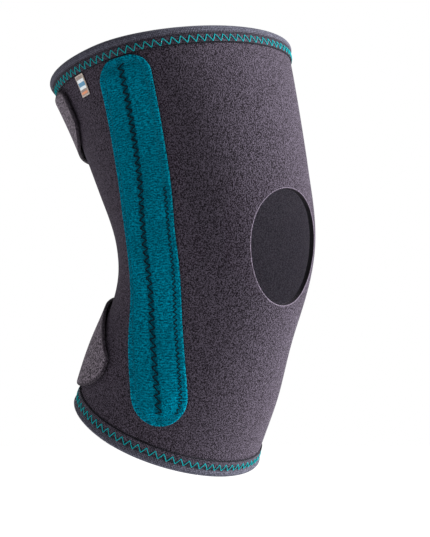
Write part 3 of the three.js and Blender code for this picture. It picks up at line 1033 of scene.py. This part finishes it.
def wrap_finish():
    cloth = Finish("wrap_cloth", **MATT, Sheen_Weight=0.05, Sheen_Tint=colour(205, 185, 215))
    place = cloth.coordinates()
    fuzz = cloth.noise(place, 0.0007, 1.0)
    clumps = cloth.noise(place, 0.0022, 2.0)
    broad = cloth.noise(place, 0.05, 1.0)
    speckle = cloth.between(fuzz * 0.92 + clumps * 0.08, 0.36, 0.64)
    outer = cloth.mix(speckle, colour(6, 4, 7), colour(55, 50, 59))
    outer = cloth.mix(broad * 0.3, outer, colour(34, 27, 34))
    layer = cloth.attribute("layer")
    pressed = cloth.between(layer, 0.003, 0.03)
    foam = cloth.between(layer, 0.08, 0.16)
    inside = cloth.between(layer, 0.86, 0.95)
    cells = cloth.noise(place, 0.0005, 1.0)
    outer = cloth.mix(pressed * 0.6, outer, colour(96, 88, 100))
    black = cloth.mix(cells, colour(5, 5, 6), colour(18, 17, 20))
    lining = cloth.mix(speckle, colour(66, 63, 72), colour(98, 94, 104))
    shown = cloth.mix(inside, cloth.mix(foam, outer, black), lining)
    relief = cloth.bump(fuzz * 0.8 + clumps * 0.4, 0.0012)
    return cloth.done(Base_Color=shown, Normal=relief)


# %% The tape, the velour and the loops
def tape_finish():
    tape_cloth = Finish("tape_cloth", **MATT, Sheen_Weight=0.06, Sheen_Tint=colour(200, 205, 225))
    across, along = tape_cloth.across_and_along()
    place = tape_cloth.coordinates()
    from_fold = tape_cloth.attribute("from_fold")
    weave = tape_cloth.wave(across, 0.0009) * tape_cloth.wave(along, 0.0009)
    fuzz = tape_cloth.noise(place, 0.0008, 1.0)
    tone = tape_cloth.between(fuzz * 0.7 + weave * 0.3, 0.32, 0.60)
    shown = tape_cloth.mix(tone, colour(34, 33, 40), colour(66, 66, 76))
    flat_part = tape_cloth.between(from_fold, 0.0038, 0.0052)
    knit = tape_cloth.mix(tone, colour(14, 12, 17), colour(62, 57, 67))
    shown = tape_cloth.mix(flat_part, shown, knit)
    # Painted shade: a dark band where the tape dips down towards the zigzag.
    dip = flat_part * (1 - tape_cloth.between(from_fold, 0.0050, 0.0068))
    shown = tape_cloth.mix(dip * 0.7, shown, colour(14, 12, 16))
    # Painted shadow: a thin dark line along the tape's cut edge, where it lies on the wrap.
    cut = tape_cloth.between(from_fold, BINDING_WIDTH - 0.0012, BINDING_WIDTH - 0.0002)
    shown = tape_cloth.mix(cut * 0.9, shown, colour(6, 5, 8))
    relief = tape_cloth.bump(weave * 0.3 + fuzz * 0.5, 0.0006)
    return tape_cloth.done(Base_Color=shown, Normal=relief)


def velour_finish():
    velour = Finish(
        "velour",
        Roughness=1.0,
        Specular_IOR_Level=0.0,
        Sheen_Weight=0.12,
        Sheen_Roughness=0.35,
        Sheen_Tint=colour(0, 150, 180),
    )
    across, along = velour.across_and_along()
    place = velour.coordinates()
    jitter = velour.noise(place, 0.003, 2.0)
    ribs = velour.wave(along + jitter * 0.0030, 0.00125)
    streaks = velour.node("ShaderNodeCombineXYZ", None, across * 0.3, along, 0.0)
    pile = velour.noise(place, 0.0008, 2.0)
    combed = velour.noise(streaks, 0.0007, 1.0)
    broad = velour.noise(place, 0.012, 1.0)
    tone = velour.between(pile * 0.5 + combed * 0.42 + ribs * 0.08, 0.36, 0.66)
    shown = velour.mix(tone, colour(0, 38, 50), colour(0, 92, 112))
    shown = velour.mix(velour.between(broad, 0.35, 0.7) * 0.35, shown, colour(0, 56, 70))
    # Painted shade: the velour is darker down the valley between the strip's two lobes.
    off_middle = velour.node("ShaderNodeMath", {"operation": "ABSOLUTE"}, across)
    valley_shade = 1 - velour.between(off_middle, 0.0004, 0.0030)
    shown = velour.mix(valley_shade * 0.4, shown, colour(0, 36, 46))
    # Painted highlight: broken lighter dots along the strip's rim, where the pile catches the light.
    edge = 1 - velour.between(velour.attribute("edge"), 0.0003, 0.0014)
    shown = velour.mix(edge * velour.between(pile, 0.45, 0.6) * 0.7, shown, colour(4, 112, 130))
    relief = velour.bump(ribs * 0.1 + pile * 0.5 + combed * 0.4, 0.0010)
    return velour.done(Base_Color=shown, Normal=relief)


def loop_finish():
    loops = Finish("loop_cloth", **MATT, Sheen_Weight=0.08, Sheen_Tint=colour(215, 205, 215))
    place = loops.coordinates()
    grain = loops.noise(place, 0.0010, 2.0)
    clumps = loops.noise(place, 0.0030, 2.0)
    speckle = loops.between(grain * 0.9 + clumps * 0.1, 0.40, 0.60)
    shown = loops.mix(speckle, colour(24, 20, 25), colour(92, 84, 93))
    rim = 1 - loops.between(loops.attribute("edge"), 0.0006, 0.0020)
    shown = loops.mix(rim * 0.85, shown, colour(24, 20, 26))
    relief = loops.bump(grain * 0.8 + clumps * 0.4, 0.0014)
    return loops.done(Base_Color=shown, Normal=relief)


# %% The hooks, the label and the threads
def hook_finish():
    hook_cloth = Finish("hook_cloth", Roughness=0.6)
    across, along = hook_cloth.across_and_along()
    rows = hook_cloth.wave(across, 0.0012) * hook_cloth.wave(along, 0.0012)
    shown = hook_cloth.mix(rows, colour(22, 22, 25), colour(58, 56, 62))
    return hook_cloth.done(Base_Color=shown, Normal=hook_cloth.bump(rows, 0.0006))


def label_finish():
    ribbon = Finish("ribbon", Sheen_Weight=0.1)
    across, along = ribbon.across_and_along()
    weft = ribbon.wave(along, 0.0003)
    border = 1 - ribbon.between(ribbon.attribute("edge"), 0.0006, 0.0009)

    def band(low, high):
        return ribbon.between(along, low, low + 0.0002) * (1 - ribbon.between(along, high, high + 0.0002))

    shown = ribbon.mix(band(0.0012, 0.0026), colour(104, 88, 80), colour(178, 98, 44))
    shown = ribbon.mix(band(0.0040, 0.0098), shown, colour(190, 196, 200))
    shown = ribbon.mix(band(0.0056, 0.0080), shown, colour(22, 104, 140))
    shown = ribbon.mix(border, shown, colour(142, 128, 118))
    shown = ribbon.mix(weft * 0.25, shown, colour(90, 84, 80))
    return ribbon.done(Base_Color=shown, Normal=ribbon.bump(weft, 0.0001))


def thread_finish(name, dark, light):
    thread = Finish(name, Roughness=0.8, Specular_IOR_Level=0.05)
    ply = thread.noise(thread.coordinates(), 0.0005, 1.0)
    return thread.done(Base_Color=thread.mix(ply, dark, light))


finishes = {
    "foam_cloth": wrap_finish(),
    "binding_tape": tape_finish(),
    "teal_velour": velour_finish(),
    "loop_cloth": loop_finish(),
    "hook_tape": hook_finish(),
    "woven_ribbon": label_finish(),
}
teal_thread = thread_finish("teal_thread", colour(0, 78, 84), colour(0, 122, 126))
# Dark thread for the middle seams. On the front edge stitches its darkness is painted shadow of stitches
# sunk in the pile.
dark_thread_and_stitch_shadow = thread_finish("dark_thread_and_stitch_shadow", colour(1, 8, 12), colour(3, 20, 28))
deep_thread = thread_finish("deep_thread", colour(0, 60, 74), colour(0, 84, 102))

# %% [markdown]
# ## The seams
# The same zigzag runs along both hems in teal, and a narrow dark one goes down the middle of each strip.
# A finer one holds each strip down all round in the strip's own teal. Along the front its stitches are
# made dark, as painted shadow of the stitches sunk in the pile.

# %% Zigzags along the hems
def zigzag_ends(points, ways):
    """Stitches from point to point."""
    return np.stack([points[:-1], points[1:]], 1), (ways[:-1] + ways[1:]) / 2


HEM_THREAD = (0.0005, 0.0003, 0.0001)


def hem_zigzag(name, piece, from_hem, zigzag):
    middle = sum(zigzag) / 2
    angles = hem_angles(lambda a: from_hem(np.asarray(a, float), middle), ZIGZAG_REPEAT / 2)[1:-1]
    x = np.where(np.arange(len(angles)) % 2 == 0, zigzag[0], zigzag[1])
    points, ways = lay(surface_of(piece), angles, from_hem(angles, x))
    ends, up = zigzag_ends(points, ways)
    return sew(name, ends, up, HEM_THREAD, teal_thread)


top_zigzag = hem_zigzag("top_zigzag", top_tape, from_upper_hem, TOP_ZIGZAG)
bottom_zigzag = hem_zigzag("bottom_zigzag", bottom_tape, from_lower_hem, BOTTOM_ZIGZAG)

# %% The strips' seams
STAY_RUN = WRAP_LENGTH - STAY_TOP_GAP - STAY_ABOVE_HEM
STAY_SEAM_ENDS = (0.03, 0.98)
EDGE_REPEAT, EDGE_SWING, EDGE_SEAM_IN = 0.0026, 0.0010, 0.0034
EDGE_SHADOWED = (0.17, 0.46)
LOOP_PLACES = 200
MIDDLE_THREAD = (0.0007, 0.0003, 0.0002)
FRONT_THREAD = (0.0005, 0.0002, 0.0002)
REAR_THREAD = (0.0004, 0.0001, 0.0002)


def stay_seam(name, piece, side):
    """The zigzag down the middle of a strip."""
    count = round(STAY_RUN * 0.95 / (STAY_REPEAT / 2))
    up = np.linspace(*STAY_SEAM_ENDS, count)
    angle, share, _, _ = stay_spot(side, np.full(count, 0.5), up)
    swing = np.where(np.arange(count) % 2 == 0, 1, -1) * STAY_SWING / per_degree(angle, share)
    points, ways = lay(surface_of(piece), angle + swing, share)
    return sew(name, *zigzag_ends(points, ways), MIDDLE_THREAD, dark_thread_and_stitch_shadow)


def stay_loop(side, inset, count):
    """Evenly spaced places round a strip at an inset from its edge, first along the front."""
    up = np.linspace(inset / STAY_RUN, 1 - inset / STAY_RUN, LOOP_PLACES)
    off = stay_spot(side, np.full(LOOP_PLACES, 0.5), up)[2] - inset
    front = -off if side > 0 else off
    loop_up = np.concatenate([up[::-1], up, up[-1:]])
    loop_off = np.concatenate([front[::-1], -front, front[-1:]])
    half = stay_spot(side, np.full(len(loop_up), 0.5), loop_up)[2]
    angle, share, _, _ = stay_spot(side, 0.5 + loop_off / (2 * half), loop_up)
    run = np.concatenate([[0], np.cumsum(length(np.diff(leg_point(angle, share), axis=0)))])
    at = np.linspace(0, run[-1], count)
    return np.interp(at, run, angle), np.interp(at, run, share)


def stay_edge_seam(name, piece, side):
    """The zigzag that holds a strip down all round; in front of the knee its stitches are dark, a painted
    shadow of the stitches sunk in the pile.
    """
    count = round(2 * STAY_RUN / (EDGE_REPEAT / 2))
    angle, share = stay_loop(side, EDGE_SEAM_IN, count)
    places, ways = leg_point(angle, share), outward(angle, share)
    across = np.cross(ways, np.gradient(places, axis=0))
    across /= length(across)[:, None]
    swing = np.where(np.arange(count) % 2 == 0, EDGE_SWING, -EDGE_SWING)[:, None]
    ends, ways = zigzag_ends(drop(surface_of(piece), places + across * swing, ways), ways)
    start, stop = (round(count * turn) for turn in EDGE_SHADOWED)
    pale = np.r_[0:start, stop : len(ends)]
    return [
        # The front stitches take the dark thread: painted shadow of the stitches sunk in the pile.
        sew(f"{name}_front", ends[start:stop], ways[start:stop], FRONT_THREAD, dark_thread_and_stitch_shadow),
        sew(f"{name}_rear", ends[pale], ways[pale], REAR_THREAD, deep_thread),
    ]


lateral_seams = [
    stay_seam("lateral_seam", lateral_cover, 1),
    *stay_edge_seam("lateral_edge_seam", lateral_cover, 1),
]
medial_seams = [
    stay_seam("medial_seam", medial_cover, -1),
    *stay_edge_seam("medial_edge_seam", medial_cover, -1),
]

# %% [markdown]
# ## Floor, light and the table of pieces
# A white room gives the soft light of a studio, and one large lamp from the camera's right gives the form.

# %% Floor and light
FLOOR_LEVEL = -0.32
FLOOR_RADIUS = 6.0
FLOOR_SIDES = 96
FLOOR_GLOW = 0.12

floor_paint = Finish(
    "floor",
    Roughness=1.0,
    Specular_IOR_Level=0.0,
    Emission_Strength=FLOOR_GLOW,
    Emission_Color=(1, 1, 1, 1),
)
floor_mesh = bpy.data.meshes.new("floor")
ring = [
    (FLOOR_RADIUS * math.cos(t), FLOOR_RADIUS * math.sin(t), FLOOR_LEVEL)
    for t in np.linspace(0, 2 * math.pi, FLOOR_SIDES, endpoint=False)
]
floor_mesh.from_pydata(ring, [], [list(range(len(ring)))])
floor = bpy.data.objects.new("floor", floor_mesh)
bpy.context.collection.objects.link(floor)
patches = floor_paint.noise(floor_paint.coordinates(), 0.5)
floor_shade = floor_paint.mix(patches, colour(250, 250, 250), colour(253, 253, 253))
floor_mesh.materials.append(floor_paint.done(Base_Color=floor_shade))

world = bpy.data.worlds.new("studio")
world.use_nodes = True
world.node_tree.nodes["Background"].inputs["Color"].default_value = (1, 1, 1, 1)
world.node_tree.nodes["Background"].inputs["Strength"].default_value = 1.0
bpy.context.scene.world = world
bpy.context.scene.view_settings.view_transform = "Standard"


def lamp(name, place, size, power):
    data = bpy.data.lights.new(name, "AREA")
    data.shape = "DISK"
    data.size = size
    data.energy = power
    made = bpy.data.objects.new(name, data)
    bpy.context.collection.objects.link(made)
    made.location = place
    made.rotation_euler = (CAMERA_AIM - Vector(place)).to_track_quat("-Z", "Y").to_euler()
    return made


KEY_DISTANCE, KEY_SIZE, KEY_POWER = 1.7, 0.8, 175
key_way = 0.93 * right - 0.06 * back + Vector((0, 0, 0.42))
lamp("key", CAMERA_AIM + KEY_DISTANCE * key_way, KEY_SIZE, KEY_POWER)

# %% The table of pieces
TABLE = [
    (wrap, "foam_cloth", "body_panel"),
    (top_tape, "binding_tape", "top_binding"),
    (bottom_tape, "binding_tape", "bottom_binding"),
    (lateral_cover, "teal_velour", "lateral_stay_cover"),
    (medial_cover, "teal_velour", "medial_stay_cover"),
    (upper_tab, "loop_cloth", "upper_closure_tab"),
    (lower_tab, "loop_cloth", "lower_closure_tab"),
    (hooks["upper"], "hook_tape", "upper_hook_patch"),
    (hooks["lower"], "hook_tape", "lower_hook_patch"),
    (label, "woven_ribbon", "woven_label"),
]
for piece, slot, node in TABLE:
    piece.data.materials.append(finishes[slot])
    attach(piece, "root")
    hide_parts(node)
for piece, slot in (
    (top_zigzag, "binding_tape"),
    (bottom_zigzag, "binding_tape"),
    *((seam_, "teal_velour") for seam_ in lateral_seams + medial_seams),
):
    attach(piece, "root")
